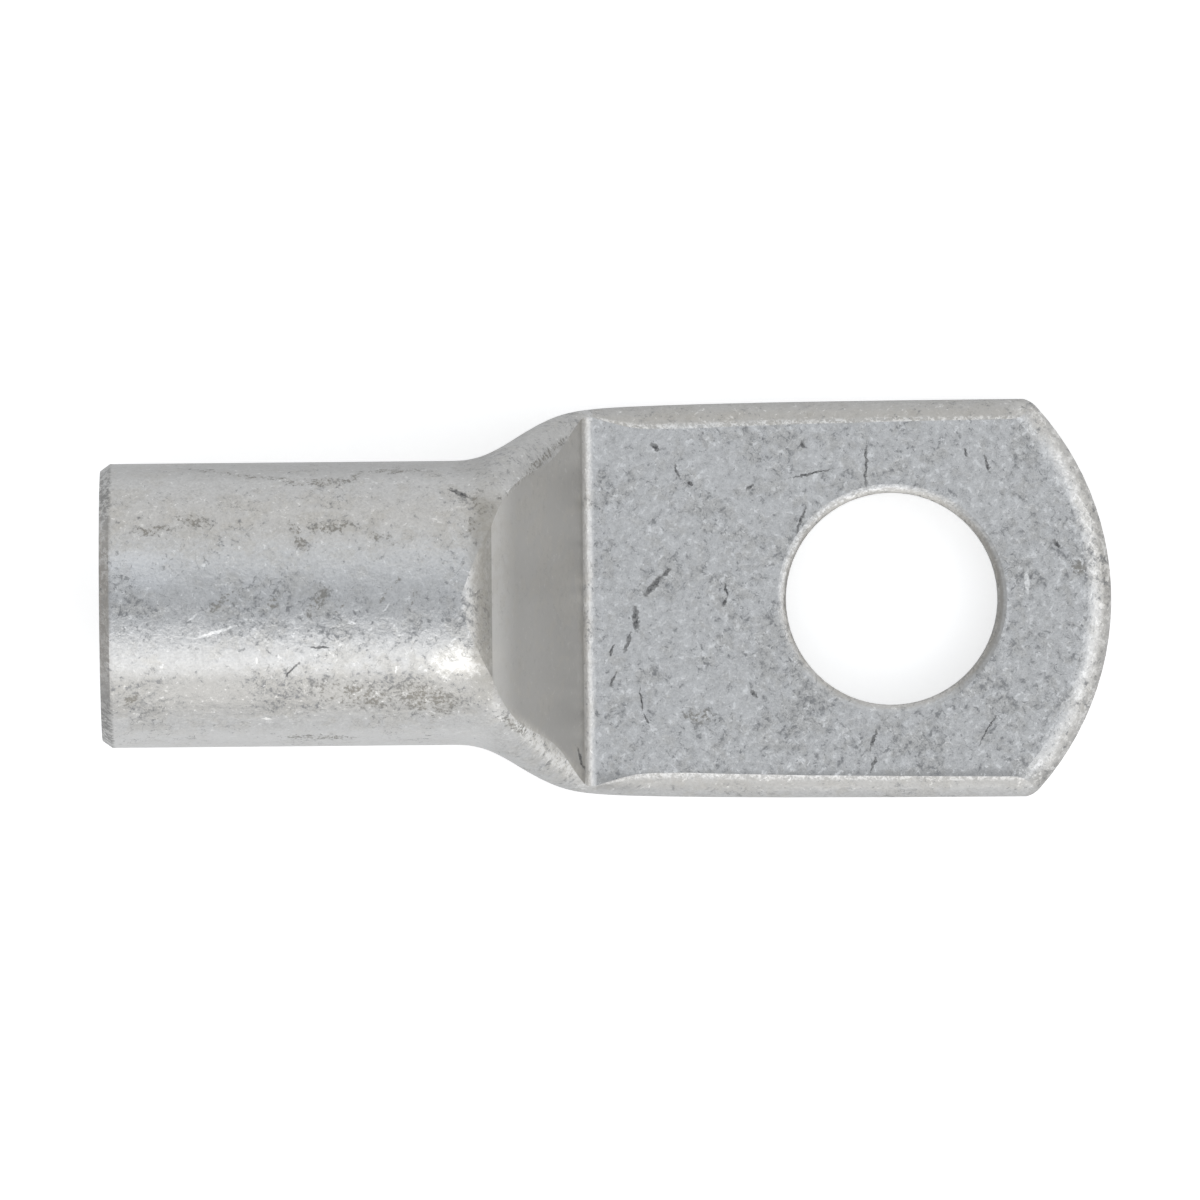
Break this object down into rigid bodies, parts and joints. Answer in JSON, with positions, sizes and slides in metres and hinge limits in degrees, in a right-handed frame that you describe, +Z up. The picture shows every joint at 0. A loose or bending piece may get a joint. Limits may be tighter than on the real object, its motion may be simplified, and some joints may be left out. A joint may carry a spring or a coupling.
{
  "type": "ring terminal",
  "caption": "Plated copper tube lug: a round barrel that takes a stranded wire and a flat, round-nosed palm with a clearance hole for a stud.",
  "frame": {"origin": "centre of the stud hole on the palm's underside", "axes": "+X along the palm to its tip, so the wire goes in from -X; +Z up, out of the stud hole through the palm's top"},
  "size_m": [0.0399, 0.0158, 0.0113],
  "materials": {
    "plated_copper": "dull, slightly mottled tin plating over copper"
  },
  "bodies": {
    "root": {"terminal_lug": "plated_copper"}
  },
  "joints": []
}
